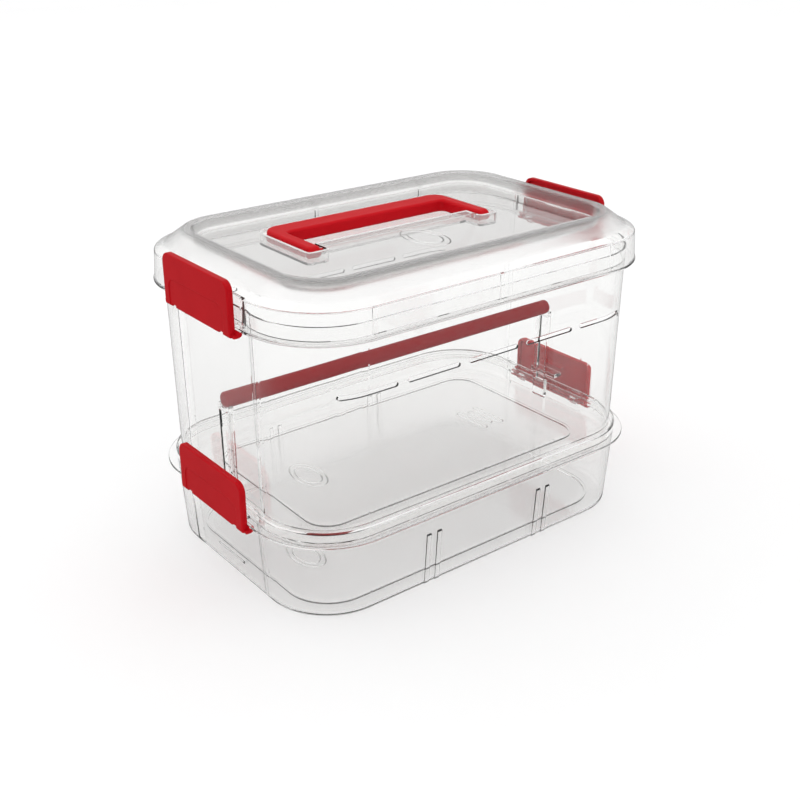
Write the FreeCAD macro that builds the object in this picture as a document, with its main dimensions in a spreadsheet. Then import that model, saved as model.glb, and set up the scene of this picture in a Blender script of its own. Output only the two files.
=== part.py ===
"""Two-tier carry box for art supplies, in clear plastic with red clips, handle and dowel.

A shallow tray stands below a tall bin, and a domed lid closes the bin. Two clips on each
vessel hold the piece above it. The frame has its origin on the ground under the middle of
the tray, +X along the box and +Z up. Lengths are millimetres.
"""

import FreeCAD, Part
import os
import Sketcher

SIZES = {
    # Outline of the lid's skirt, which every other outline is set in from
    "half_length": 170.0,
    "half_width": 115.6,
    "corner_round": 60.0,
    "wall": 1.8,
    "run_gap": 0.3,
    "overlap": 0.5,
    "cut_clear": 1.0,
    "rib_top_slope": 2.0,
    "grip_cut_reach": 20.0,
    "panel_cut_reach": 10.0,
    # Panel set into each end of both vessels
    "panel_half": 44.0,
    "panel_edge_half": 51.0,
    "panel_depth": 1.5,
    # Lower tray
    "tray_foot_inset": 9.2,
    "tray_lip_inset": 4.7,
    "tray_flange_top": 64.3,
    "tray_lip_top": 70.0,
    "tray_floor": 2.0,
    "tray_foot_round": 4.0,
    "tray_ring_inset": 24.0,
    # Upper bin
    "bin_foot": 54.5,
    "bin_foot_inset": 9.4,
    "bin_lip_inset": 7.0,
    "bin_flange_top": 210.9,
    "bin_lip_top": 220.0,
    "bin_floor": 2.0,
    "bin_foot_round": 6.0,
    "bin_ring_inset": 40.0,
    "seat_inset": 5.4,
    "seat_thick": 1.8,
    # Flanges, floor steps and floor rounding of both vessels
    "flange_thick": 2.0,
    "flange_edge": 0.7,
    "tray_flange_inset": -1.7,
    "bin_flange_inset": -0.6,
    "ring_step": 1.2,
    "floor_round": 3.0,
    "lining_gap": 0.15,
    # Paired ribs on the tray's long walls
    "rib_pitch": 54.5,
    "rib_half_space": 4.9,
    "rib_wide": 4.0,
    "rib_high": 46.0,
    "rib_proud": 1.0,
    # Small ledge low on each end wall of the tray
    "ledge_half": 18.0,
    "ledge_low": 13.5,
    "ledge_thick": 2.2,
    # Ribbon slots in the bin's long walls
    "slot_long": 46.0,
    "slot_high": 3.6,
    "slot_level": 170.0,
    # Dowel and its supports
    "dowel_level": 139.5,
    "dowel_radius": 6.0,
    "dowel_half": 157.8,
    "dowel_end_round": 2.0,
    "support_half": 6.8,
    "support_drop": 3.2,
    "support_face": 154.0,
    # Clips, their lugs and catches, measured from a flange's top face
    "clip_half": 44.0,
    "clip_face": 175.2,
    "clip_inner": 173.0,
    "clip_rim_face": 170.7,
    "clip_rim_wide": 2.2,
    "clip_low": -7.1,
    "clip_high": 30.8,
    "clip_round": 7.0,
    "clip_edge": 1.1,
    "lip_half": 47.0,
    "pivot_out": 169.3,
    "pivot_low": -4.7,
    "barrel_radius": 2.1,
    "pin_radius": 1.6,
    "bore_radius": 1.9,
    "lug_radius": 3.4,
    "lug_place": 32.0,
    "lug_wide": 6.0,
    "notch_wide": 8.0,
    "notch_high": -0.3,
    "nick_half": 2.8,
    "nick_high": 1.7,
    "mouth_half": 1.3,
    "flange_relief": 170.1,
    "relief_half": 48.5,
    "catch_half": 14.5,
    "catch_out": 168.4,
    "catch_level": 14.5,
    "catch_high": 2.8,
    "bead_out": 168.8,
    "bead_half": 13.0,
    "bead_gap": 1.3,
    "bead_high": 3.4,
    "grip_panel_half": 37.0,
    "grip_panel_high": 13.5,
    "grip_panel_deep": 0.5,
    # Lid
    "skirt_low": 211.2,
    "skirt_high": 231.8,
    "skirt_top_inset": 1.5,
    "ledge_high": 234.7,
    "ledge_inset": 8.0,
    "ridge_high": 245.3,
    "ridge_inset": 23.0,
    "ridge_inner_inset": 30.0,
    "plate_high": 236.5,
    "plate_inset": 32.5,
    "ridge_round": 2.9,
    "skirt_round": 2.0,
    "tub_round": 1.6,
    "step_face": 167.2,
    "step_half": 49.0,
    "skirt_rib_pitch": 109.0,
    "skirt_rib_wide": 2.6,
    "skirt_rib_deep": 2.4,
    "skirt_rib_gap": 1.0,
    # Carry handle and the well it folds into
    "handle_half": 85.5,
    "handle_back": 60.5,
    "grip_front": 41.0,
    "arm_wide": 10.5,
    "handle_low": 228.0,
    "handle_thick": 10.0,
    "handle_corner": 13.0,
    "handle_edge": 2.4,
    "finger_round": 3.8,
    "tip_round": 4.9,
    "pivot_line": -1.0,
    "handle_pin": 2.0,
    "handle_pin_reach": 4.4,
    "handle_bore": 2.35,
    "well_gap": 3.0,
    "well_front": 8.0,
    "well_tip": -9.0,
    "well_floor": 227.5,
    "well_wall": 1.5,
    "well_inner": 72.0,
}

doc = FreeCAD.newDocument("ArtSupplyBox")
sheet = doc.addObject("Spreadsheet::Sheet", "Sizes")
for row, (alias, value) in enumerate(SIZES.items(), start=1):
    sheet.set(f"A{row}", alias)
    sheet.set(f"B{row}", str(value))
    sheet.setAlias(f"B{row}", alias)
doc.recompute()


class Length:
    """A length with the formula that binds it to the sheet and its present value."""

    def __init__(self, formula, value):
        self.formula = formula
        self.value = value

    def joined(self, sign, other, value):
        return Length(f"({self.formula} {sign} {as_length(other).formula})", value)

    def __add__(self, other):
        return self.joined("+", other, self.value + as_length(other).value)

    def __sub__(self, other):
        return self.joined("-", other, self.value - as_length(other).value)

    def __mul__(self, other):
        return self.joined("*", other, self.value * as_length(other).value)

    def __truediv__(self, other):
        return self.joined("/", other, self.value / as_length(other).value)

    def __neg__(self):
        return Length(f"(0 - {self.formula})", -self.value)


def as_length(number):
    """Give a plain number as a Length, and a Length as it is."""
    if isinstance(number, Length):
        return number
    return Length(f"{number}", float(number))


def size(alias):
    """Give a cell of the sheet as a Length."""
    return Length(f"Sizes.{alias}", float(sheet.get(alias)))


def new_body(label):
    """Start an empty body that carries a sub-part's name."""
    body = doc.addObject("PartDesign::Body", label)
    body.Label = label
    return body


def origin_feature(body, role):
    """Find one of a body's own origin planes or axes."""
    return next(item for item in body.Origin.OriginFeatures if item.Role == role)


def new_sketch(body, name, plane, offset):
    """Put an empty sketch on an origin plane, moved along the plane's normal by an offset."""
    sketch = body.newObject("Sketcher::SketchObject", f"{body.Label}_{name}")
    sketch.AttachmentSupport = [(origin_feature(body, plane), "")]
    sketch.MapMode = "FlatFace"
    sketch.setExpression("AttachmentOffset.Base.z", as_length(offset).formula)
    return sketch


def bind(sketch, index, length):
    """Bind a constraint's size to the sheet."""
    sketch.setExpression(f"Constraints[{index}]", length.formula)


def hold(sketch, kind, geometry, point, place):
    """Hold a point's distance from the sketch's origin, with the sign of its place."""
    place = as_length(place)
    if place.value >= 0:
        index = sketch.addConstraint(Sketcher.Constraint(kind, -1, 1, geometry, point, place.value))
        bind(sketch, index, place)
    else:
        index = sketch.addConstraint(Sketcher.Constraint(kind, geometry, point, -1, 1, -place.value))
        bind(sketch, index, -place)


def vector(x, y):
    return FreeCAD.Vector(x, y, 0)


def add_polygon(sketch, corners):
    """Draw a closed polygon and hold every corner at its two places."""
    points = [(as_length(x), as_length(y)) for x, y in corners]
    ends = points[1:] + points[:1]
    lines = [
        sketch.addGeometry(Part.LineSegment(vector(a[0].value, a[1].value), vector(b[0].value, b[1].value)))
        for a, b in zip(points, ends)
    ]
    for line, following in zip(lines, lines[1:] + lines[:1]):
        sketch.addConstraint(Sketcher.Constraint("Coincident", line, 2, following, 1))
    for line, (x, y) in zip(lines, points):
        hold(sketch, "DistanceX", line, 1, x)
        hold(sketch, "DistanceY", line, 1, y)


def add_rectangle(sketch, left, right, low, high):
    add_polygon(sketch, [(left, low), (right, low), (right, high), (left, high)])


def add_circle(sketch, x, y, radius):
    """Draw a circle held at its centre and radius."""
    x, y, radius = as_length(x), as_length(y), as_length(radius)
    circle = sketch.addGeometry(Part.Circle(vector(x.value, y.value), FreeCAD.Vector(0, 0, 1), radius.value))
    hold(sketch, "DistanceX", circle, 3, x)
    hold(sketch, "DistanceY", circle, 3, y)
    bind(sketch, sketch.addConstraint(Sketcher.Constraint("Radius", circle, radius.value)), radius)


def add_arc(sketch, centre_x, centre_y, radius, start):
    """Draw a quarter turn anticlockwise from a start angle given in quarter turns."""
    circle = Part.Circle(vector(centre_x, centre_y), FreeCAD.Vector(0, 0, 1), radius)
    quarter = 1.5707963267948966
    return sketch.addGeometry(Part.ArcOfCircle(circle, start * quarter, (start + 1) * quarter))


def add_rounded_outline(sketch, left, right, low, high, radius):
    """Draw a rectangle with round corners, held at its four sides and its radius."""
    left, right, low, high, radius = [as_length(item) for item in (left, right, low, high, radius)]
    runs = [
        [(left + radius, low), (right - radius, low)],
        [(right, low + radius), (right, high - radius)],
        [(right - radius, high), (left + radius, high)],
        [(left, high - radius), (left, low + radius)],
    ]
    centres = [(right - radius, low + radius), (right - radius, high - radius)]
    centres += [(left + radius, high - radius), (left + radius, low + radius)]
    lines = []
    arcs = []
    for quarter, (start, end) in enumerate(runs):
        line = Part.LineSegment(vector(start[0].value, start[1].value), vector(end[0].value, end[1].value))
        lines.append(sketch.addGeometry(line))
        centre_x, centre_y = centres[quarter]
        arcs.append(add_arc(sketch, centre_x.value, centre_y.value, radius.value, quarter - 1))
    for quarter, arc in enumerate(arcs):
        sketch.addConstraint(Sketcher.Constraint("Tangent", lines[quarter], 2, arc, 1))
        sketch.addConstraint(Sketcher.Constraint("Tangent", arc, 2, lines[(quarter + 1) % 4], 1))
    bind(sketch, sketch.addConstraint(Sketcher.Constraint("Radius", arcs[0], radius.value)), radius)
    for arc in arcs[1:]:
        sketch.addConstraint(Sketcher.Constraint("Equal", arcs[0], arc))
    for line, kind, held, place in (
        (lines[0], "Horizontal", "DistanceY", low),
        (lines[1], "Vertical", "DistanceX", right),
        (lines[2], "Horizontal", "DistanceY", high),
        (lines[3], "Vertical", "DistanceX", left),
    ):
        sketch.addConstraint(Sketcher.Constraint(kind, line))
        hold(sketch, held, line, 1, place)


def box_outline(body, name, inset, level):
    """Sketch the box's outline set in by an inset, at a level above the ground."""
    inset = as_length(inset)
    sketch = new_sketch(body, name, "XY_Plane", level)
    half_x = size("half_length") - inset
    half_y = size("half_width") - inset
    add_rounded_outline(sketch, -half_x, half_x, -half_y, half_y, size("corner_round") - inset)
    return sketch


def loft(body, name, lower, upper, removes=False):
    """Join two outlines with straight sides, as material or as a hollow."""
    kind = "PartDesign::SubtractiveLoft" if removes else "PartDesign::AdditiveLoft"
    feature = body.newObject(kind, f"{body.Label}_{name}")
    feature.Profile = lower
    feature.Sections = [upper]
    feature.Ruled = True
    return feature


def leaning(body, name, low, low_inset, high, high_inset, removes=False):
    """Raise the box's outline between two levels while its inset changes, as material or hollow."""
    outline = box_outline(body, f"{name}_outline", low_inset, low)
    if removes:
        feature = pocket(body, name, outline, high - low, back=True)
    else:
        feature = pad(body, name, outline, high - low)
    lean = (as_length(low_inset) - high_inset) / (high - low)
    feature.setExpression("TaperAngle", f"atan({lean.formula})")
    return feature


def pad(body, name, sketch, length, middle=False, back=False):
    """Raise a sketch by a length, to both sides when middle is set."""
    feature = body.newObject("PartDesign::Pad", f"{body.Label}_{name}")
    feature.Profile = sketch
    feature.setExpression("Length", as_length(length).formula)
    feature.Midplane = middle
    feature.Reversed = back
    return feature


def pocket(body, name, sketch, length, middle=False, back=False):
    """Cut a sketch to a depth. It cuts against the sketch's normal unless back is set."""
    feature = body.newObject("PartDesign::Pocket", f"{body.Label}_{name}")
    feature.Profile = sketch
    feature.setExpression("Length", as_length(length).formula)
    feature.Midplane = middle
    feature.Reversed = back
    return feature


def round_edges(body, name, radius, wanted):
    """Round the edges of the body's tip that a test picks out."""
    doc.recompute()
    base = body.Tip
    names = [f"Edge{i}" for i, edge in enumerate(base.Shape.Edges, start=1) if wanted(edge)]
    if not names:
        raise RuntimeError(f"{body.Label} has no edges for {name}")
    feature = body.newObject("PartDesign::Fillet", f"{body.Label}_{name}")
    feature.Base = (base, names)
    feature.setExpression("Radius", as_length(radius).formula)
    return feature


def lies_level(edge, level):
    """Say whether an edge lies flat at a level above the ground."""
    box = edge.BoundBox
    return abs(box.ZMin - level) < 0.02 and abs(box.ZMax - level) < 0.02


def reach(edge):
    """Give how far along X an edge gets from the middle of the box."""
    return max(abs(edge.BoundBox.XMin), abs(edge.BoundBox.XMax))


def inset_at(level, low, low_inset, high, high_inset):
    """Give a leaning wall's inset at a level between two others."""
    return low_inset + (high_inset - low_inset) * (level - low) / (high - low)


def end_panels(body, name, thick, low, low_inset, high, high_inset, removes=False):
    """Loft a slant-sided panel over each end wall, between two levels of a leaning wall.

    The insets say where the panel's narrow face is. Its wide face is a thickness further out.
    """
    narrow = size("panel_half")
    wide = narrow + thick * (size("panel_edge_half") - narrow) / size("panel_depth")
    for side, end in ((1, "right"), (-1, "left")):
        sections = []
        for word, level, inset in (("low", low, low_inset), ("high", high, high_inset)):
            face = size("half_length") - inset
            corners = [
                (face * side, -narrow),
                ((face + thick) * side, -wide),
                ((face + thick) * side, wide),
                (face * side, narrow),
            ]
            sketch = new_sketch(body, f"{name}_{end}_{word}", "XY_Plane", level)
            add_polygon(sketch, corners)
            sections.append(sketch)
        loft(body, f"{name}_{end}", *sections, removes=removes)


def vessel_shell(body, prefix, foot):
    """Build a vessel's leaning walls, flange, lip and floor, open at the top."""
    wall = size("wall")
    depth = size("panel_depth")
    lip_top = size(f"{prefix}_lip_top")
    foot_inset = size(f"{prefix}_foot_inset")
    lip_inset = size(f"{prefix}_lip_inset")
    flange_top = size(f"{prefix}_flange_top")
    flange_low = flange_top - size("flange_thick")
    floor_top = foot + size(f"{prefix}_floor")
    leaning(body, "wall", foot, foot_inset, lip_top, lip_inset)
    round_edges(body, "foot_edge", size(f"{prefix}_foot_round"), lambda e: lies_level(e, foot.value))
    end_panels(body, "panel", depth * 2, foot, foot_inset + depth, lip_top, lip_inset + depth, removes=True)
    flange = box_outline(body, "flange_outline", size(f"{prefix}_flange_inset"), flange_low)
    pad(body, "flange", flange, size("flange_thick"))
    flange_reach = size("half_length").value - size(f"{prefix}_flange_inset").value - 0.02
    flange_levels = (flange_low.value, flange_top.value)
    round_edges(
        body,
        "flange_round",
        size("flange_edge"),
        lambda e: is_outermost(e, flange_reach) and any(lies_level(e, z) for z in flange_levels),
    )
    if prefix == "bin":
        seat = box_outline(body, "seat_outline", size("seat_inset"), size("tray_lip_top") + size("run_gap"))
        pad(body, "seat", seat, size("seat_thick"))
    floor_inset = inset_at(floor_top, foot, foot_inset, lip_top, lip_inset)
    leaning(body, "hollow", floor_top, floor_inset + wall, lip_top, lip_inset + wall, removes=True)
    round_edges(body, "floor_edge", size("floor_round"), lambda e: lies_level(e, floor_top.value))
    lining = depth + wall
    thick = wall - size("lining_gap")
    end_panels(body, "lining", thick, floor_top, floor_inset + lining, lip_top, lip_inset + lining)
    ring_inset = size(f"{prefix}_ring_inset")
    raised = box_outline(body, "floor_ring", ring_inset, floor_top)
    pad(body, "floor_panel", raised, size("ring_step"))
    under = box_outline(body, "under_ring", ring_inset + wall, foot)
    pocket(body, "under_panel", under, size("ring_step"), back=True)


def is_outermost(edge, distance):
    """Say whether an edge belongs to the box's widest outline, on a side or round a corner."""
    box = edge.BoundBox
    narrower = size("half_length").value - size("half_width").value
    across = max(abs(box.YMin), abs(box.YMax)) + narrower
    return max(reach(edge), across) > distance


def clip_lugs(body, flange_top):
    """Hang four open lugs under the flange, where the clips' pins snap in."""
    flange_low = flange_top - size("flange_thick")
    relief = new_sketch(body, "relief_outline", "XY_Plane", flange_top + size("cut_clear"))
    wide = size("relief_half")
    inner, outer = size("flange_relief"), size("clip_face")
    add_rectangle(relief, inner, outer, -wide, wide)
    add_rectangle(relief, -outer, -inner, -wide, wide)
    pocket(body, "relief", relief, size("flange_thick") + size("cut_clear") * 2)
    axis_x = size("pivot_out")
    axis_z = flange_top + size("pivot_low")
    radius = size("lug_radius")
    root = size("half_length") - size("tray_foot_inset") + size("cut_clear")
    for name, place in (("front", -size("lug_place")), ("back", size("lug_place"))):
        lug = new_sketch(body, f"{name}_lug_outline", "XZ_Plane", place)
        for side in (1, -1):
            corners = [
                (root * side, flange_low + size("overlap")),
                (root * side, axis_z + size("overlap")),
                (axis_x * side, axis_z + size("overlap")),
                (axis_x * side, flange_low + size("overlap")),
            ]
            add_polygon(lug, corners)
        pad(body, f"{name}_lug_neck", lug, size("lug_wide"), middle=True)
        eye = new_sketch(body, f"{name}_eye_outline", "XZ_Plane", place)
        for side in (1, -1):
            add_circle(eye, axis_x * side, axis_z, radius)
        pad(body, f"{name}_eye", eye, size("lug_wide"), middle=True)
    bore = new_sketch(body, "bore_outline", "XZ_Plane", 0)
    mouth = new_sketch(body, "mouth_cut_outline", "XZ_Plane", 0)
    slit = size("mouth_half")
    for side in (1, -1):
        add_circle(bore, axis_x * side, axis_z, size("bore_radius"))
        low, high = axis_z - radius - size("cut_clear"), axis_z
        middle_x = axis_x * side
        add_rectangle(mouth, middle_x - slit, middle_x + slit, low, high)
    across = (size("lug_place") + size("lug_wide")) * 2
    pocket(body, "bore", bore, across, middle=True)
    pocket(body, "snap_mouth", mouth, across, middle=True)


def catch_ribs(body, wall_face, level):
    """Add the rib on each end that a clip's bead reaches over."""
    ribs = new_sketch(body, "catch_outline", "XZ_Plane", 0)
    high = level + size("catch_high") / 2
    low = level - size("catch_high") / 2
    slope = size("catch_high") / 2
    out = size("catch_out")
    for side in (1, -1):
        corners = [
            (wall_face * side, low - slope),
            (out * side, low),
            (out * side, high - slope),
            ((out - slope) * side, high),
            (wall_face * side, high),
        ]
        add_polygon(ribs, corners)
    pad(body, "catch", ribs, size("catch_half") * 2, middle=True)


def base_tray():
    """The shallow lower tray, with paired ribs outside its long walls."""
    body = new_body("base_tray")
    foot = as_length(0)
    vessel_shell(body, "tray", foot)
    top = size("rib_high")
    wall_low = size("half_width") - size("tray_foot_inset")
    inset_top = inset_at(top, foot, size("tray_foot_inset"), size("tray_lip_top"), size("tray_lip_inset"))
    wall_top = size("half_width") - inset_top
    root = size("wall") / 2
    start = size("tray_foot_round")
    for number, (pair, step) in enumerate([(-1, -1), (-1, 1), (1, -1), (1, 1)], start=1):
        place = size("rib_pitch") * pair + size("rib_half_space") * step
        rib = new_sketch(body, f"rib_{number}_outline", "YZ_Plane", place)
        for side in (1, -1):
            corners = [
                ((wall_low - root) * side, start / 2),
                ((wall_low + size("rib_proud") / 2) * side, start / 2),
                ((wall_low + size("rib_proud")) * side, start),
                ((wall_top + size("rib_proud")) * side, top - size("rib_top_slope")),
                ((wall_top - root) * side, top),
            ]
            add_polygon(rib, corners)
        pad(body, f"rib_{number}", rib, size("rib_wide"), middle=True)
    clip_lugs(body, size("tray_flange_top"))
    end_ledges(body)
    return body


def end_ledges(body):
    """Add a small ledge low on each end wall, where boxes are held when they are stacked."""
    low = size("ledge_low")
    high = low + size("ledge_thick")
    foot_inset = size("tray_foot_inset")
    lean_inset = inset_at(high, as_length(0), foot_inset, size("tray_lip_top"), size("tray_lip_inset"))
    face = size("half_length") - foot_inset - size("panel_depth")
    ledges = new_sketch(body, "ledge_outline", "XZ_Plane", 0)
    for side in (1, -1):
        corners = [
            ((face - size("overlap")) * side, low),
            ((face + size("panel_depth")) * side, low),
            ((size("half_length") - lean_inset) * side, high),
            ((face - size("overlap")) * side, high),
        ]
        add_polygon(ledges, corners)
    pad(body, "ledges", ledges, size("ledge_half") * 2, middle=True)


def upper_bin():
    """The tall bin, with ribbon slots, dowel supports and a seat ring that rests on the tray."""
    body = new_body("upper_bin")
    foot = size("bin_foot")
    vessel_shell(body, "bin", foot)
    floor_top = foot + size("bin_floor")
    supports = new_sketch(body, "support_outline", "XY_Plane", floor_top - size("cut_clear"))
    half = size("support_half")
    wall_in = size("half_length") - size("bin_foot_inset") - size("panel_depth") - size("wall") / 2
    for side in (1, -1):
        corners = [
            (size("support_face") * side, -half),
            (wall_in * side, -half),
            (wall_in * side, half),
            (size("support_face") * side, half),
        ]
        add_polygon(supports, corners)
    support_top = size("dowel_level") - size("support_drop")
    pad(body, "supports", supports, support_top - floor_top + size("cut_clear"))
    saddle = new_sketch(body, "saddle_outline", "YZ_Plane", 0)
    add_circle(saddle, 0, size("dowel_level"), size("dowel_radius") + size("run_gap"))
    pocket(body, "saddle", saddle, (size("dowel_half") + size("run_gap")) * 2, middle=True)
    channel_top = size("dowel_level") - size("dowel_radius") - size("run_gap") - size("wall")
    channel_low = size("tray_lip_top") + size("run_gap") + size("seat_thick")
    channel = new_sketch(body, "channel_outline", "XY_Plane", channel_low)
    inner = size("support_face") + size("wall")
    outer = size("half_length")
    hollow_half = half - size("wall")
    add_rectangle(channel, inner, outer, -hollow_half, hollow_half)
    add_rectangle(channel, -outer, -inner, -hollow_half, hollow_half)
    pocket(body, "support_hollows", channel, channel_top - channel_low, back=True)
    slots = new_sketch(body, "slot_outline", "XZ_Plane", 0)
    half_long = size("slot_long") / 2
    end = size("slot_high") / 2
    level = size("slot_level")
    for number in (-2, -1, 0, 1, 2):
        middle_x = size("rib_pitch") * number
        left, right = middle_x - half_long, middle_x + half_long
        add_rounded_slot(slots, left, right, level, end)
    pocket(body, "ribbon_slots", slots, size("half_width") * 2, middle=True)
    clip_lugs(body, size("bin_flange_top"))
    wall_face = size("half_length") - size("bin_foot_inset") - size("panel_depth") - size("wall") / 2
    catch_ribs(body, wall_face, size("tray_flange_top") + size("catch_level"))
    return body


def add_rounded_slot(sketch, left, right, level, radius):
    """Draw a level slot with round ends."""
    half_turn = 3.141592653589793
    upright = FreeCAD.Vector(0, 0, 1)
    x_left, x_right = left + radius, right - radius
    low, high = level - radius, level + radius
    bottom = sketch.addGeometry(
        Part.LineSegment(vector(x_left.value, low.value), vector(x_right.value, low.value))
    )
    circle = Part.Circle(vector(x_right.value, level.value), upright, radius.value)
    right_end = sketch.addGeometry(Part.ArcOfCircle(circle, -half_turn / 2, half_turn / 2))
    top = sketch.addGeometry(
        Part.LineSegment(vector(x_right.value, high.value), vector(x_left.value, high.value))
    )
    circle = Part.Circle(vector(x_left.value, level.value), upright, radius.value)
    left_end = sketch.addGeometry(Part.ArcOfCircle(circle, half_turn / 2, half_turn * 1.5))
    around = [bottom, right_end, top, left_end]
    for piece, following in zip(around, around[1:] + around[:1]):
        sketch.addConstraint(Sketcher.Constraint("Tangent", piece, 2, following, 1))
    sketch.addConstraint(Sketcher.Constraint("Horizontal", bottom))
    bind(sketch, sketch.addConstraint(Sketcher.Constraint("Radius", right_end, radius.value)), radius)
    hold(sketch, "DistanceX", right_end, 3, x_right)
    hold(sketch, "DistanceX", left_end, 3, x_left)
    hold(sketch, "DistanceY", right_end, 3, level)


def lid():
    """The domed lid: a skirt, a ledge, a ridge, a sunken plate and a well for the handle."""
    body = new_body("lid")
    wall = size("wall")
    levels = [
        ("skirt", size("skirt_low"), as_length(0), size("skirt_high"), size("skirt_top_inset")),
        ("ledge", size("skirt_high"), size("skirt_top_inset"), size("ledge_high"), size("ledge_inset")),
        ("ridge", size("ledge_high"), size("ledge_inset"), size("ridge_high"), size("ridge_inset")),
    ]
    for name, low, low_inset, high, high_inset in levels:
        leaning(body, name, low, low_inset, high, high_inset)
    round_edges(body, "ridge_edge", size("ridge_round"), lambda e: lies_level(e, size("ridge_high").value))
    round_edges(body, "ledge_corner", size("ridge_round"), lambda e: lies_level(e, size("ledge_high").value))
    round_edges(body, "skirt_edge", size("skirt_round"), lambda e: lies_level(e, size("skirt_high").value))
    hollows = [
        ("skirt", size("skirt_low"), wall, size("skirt_high") - wall, size("skirt_top_inset") + wall),
        (
            "ledge",
            size("skirt_high") - wall,
            size("skirt_top_inset") + wall,
            size("ledge_high") - wall,
            size("ledge_inset") + wall / 2,
        ),
        (
            "ridge",
            size("ledge_high") - wall,
            size("ledge_inset") + wall / 2,
            size("ridge_high") - wall,
            size("ridge_inset") + wall / 2,
        ),
    ]
    for name, low, low_inset, high, high_inset in hollows:
        leaning(body, f"{name}_hollow", low, low_inset, high, high_inset, removes=True)
    plate_high = size("plate_high")
    plate_inset = size("plate_inset")
    ridge_high = size("ridge_high")
    ridge_inner = size("ridge_inner_inset")
    leaning(body, "tub", plate_high - wall, plate_inset - wall, ridge_high - wall / 2, ridge_inner - wall)
    leaning(body, "sunken", plate_high, plate_inset, ridge_high, ridge_inner, removes=True)
    round_edges(
        body,
        "sunken_edge",
        size("tub_round"),
        lambda e: lies_level(e, size("plate_high").value) or lies_level(e, size("ridge_high").value),
    )
    handle_well(body)
    clip_steps(body)
    skirt_ribs(body)
    catch_ribs(body, size("step_face") - wall / 2, size("bin_flange_top") + size("catch_level"))
    return body


def well_outlines(body, name, level, grow):
    """Sketch the two overlapping outlines of the handle's well, grown by a wall or not at all."""
    half = size("handle_half") + size("well_gap") + grow
    back = size("handle_back") + size("well_gap") + grow
    grip = new_sketch(body, f"{name}_grip", "XY_Plane", level)
    radius = size("handle_corner") + grow
    add_rounded_outline(grip, -half, half, size("well_front") - grow, back, radius)
    arms = new_sketch(body, f"{name}_arms", "XY_Plane", level)
    inner = size("well_inner") - grow
    tip = size("well_tip") - grow
    for side in (1, -1):
        left, right = (inner, half) if side == 1 else (-half, -inner)
        add_rounded_outline(arms, left, right, tip, size("grip_front"), size("well_gap") + grow)
    return grip, arms


def handle_well(body):
    """Add the well below the lid's sunken plate, with bores for the handle's pins."""
    wall = size("well_wall")
    depth = size("plate_high") - size("well_floor")
    outlines = well_outlines(body, "well_out", size("well_floor") - wall, wall)
    for name, sketch in zip(("grip", "arms"), outlines):
        pad(body, f"well_{name}_block", sketch, depth + wall - size("wall") / 2)
    outlines = well_outlines(body, "well_in", size("plate_high"), as_length(0))
    for name, sketch in zip(("grip", "arms"), outlines):
        pocket(body, f"well_{name}_hollow", sketch, depth)
    bore = new_sketch(body, "pin_bore", "YZ_Plane", 0)
    pin_level = size("handle_low") + size("handle_thick") / 2
    add_circle(bore, size("pivot_line"), pin_level, size("handle_bore"))
    pocket(body, "pin_bores", bore, (size("well_inner") + size("overlap")) * 2, middle=True)


def clip_steps(body):
    """Step the skirt inwards at both ends, so that the clips close flush with it."""
    wall = size("wall")
    face = size("step_face")
    half = size("step_half")
    liner = new_sketch(body, "step_liner", "XY_Plane", size("skirt_low"))
    outer = size("half_length") - wall / 2
    for side in (1, -1):
        corners = [
            ((face - wall) * side, -(half + wall)),
            (outer * side, -(half + wall)),
            (outer * side, half + wall),
            ((face - wall) * side, half + wall),
        ]
        add_polygon(liner, corners)
    pad(body, "step_wall", liner, size("skirt_high") - size("skirt_low"))
    cut = new_sketch(body, "step_outline", "XY_Plane", size("skirt_low") - size("cut_clear"))
    add_rectangle(cut, face, size("clip_face"), -half, half)
    add_rectangle(cut, -size("clip_face"), -face, -half, half)
    pocket(body, "step", cut, size("ridge_high") - size("skirt_low"), back=True)


def skirt_ribs(body):
    """Stiffen the long sides of the skirt with upright ribs inside."""
    gap = size("skirt_rib_gap")
    ribs = new_sketch(body, "skirt_rib_outline", "XY_Plane", size("skirt_low") + gap)
    half = size("skirt_rib_wide") / 2
    outer = size("half_width") - size("wall") + size("overlap")
    inner = size("half_width") - size("wall") - size("skirt_rib_deep")
    for number in (-1, 0, 1):
        middle_x = size("skirt_rib_pitch") * number
        for side in (1, -1):
            corners = [
                (middle_x - half, inner * side),
                (middle_x + half, inner * side),
                (middle_x + half, outer * side),
                (middle_x - half, outer * side),
            ]
            add_polygon(ribs, corners)
    pad(body, "skirt_ribs", ribs, size("skirt_high") - size("skirt_low") - gap * 2)


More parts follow.
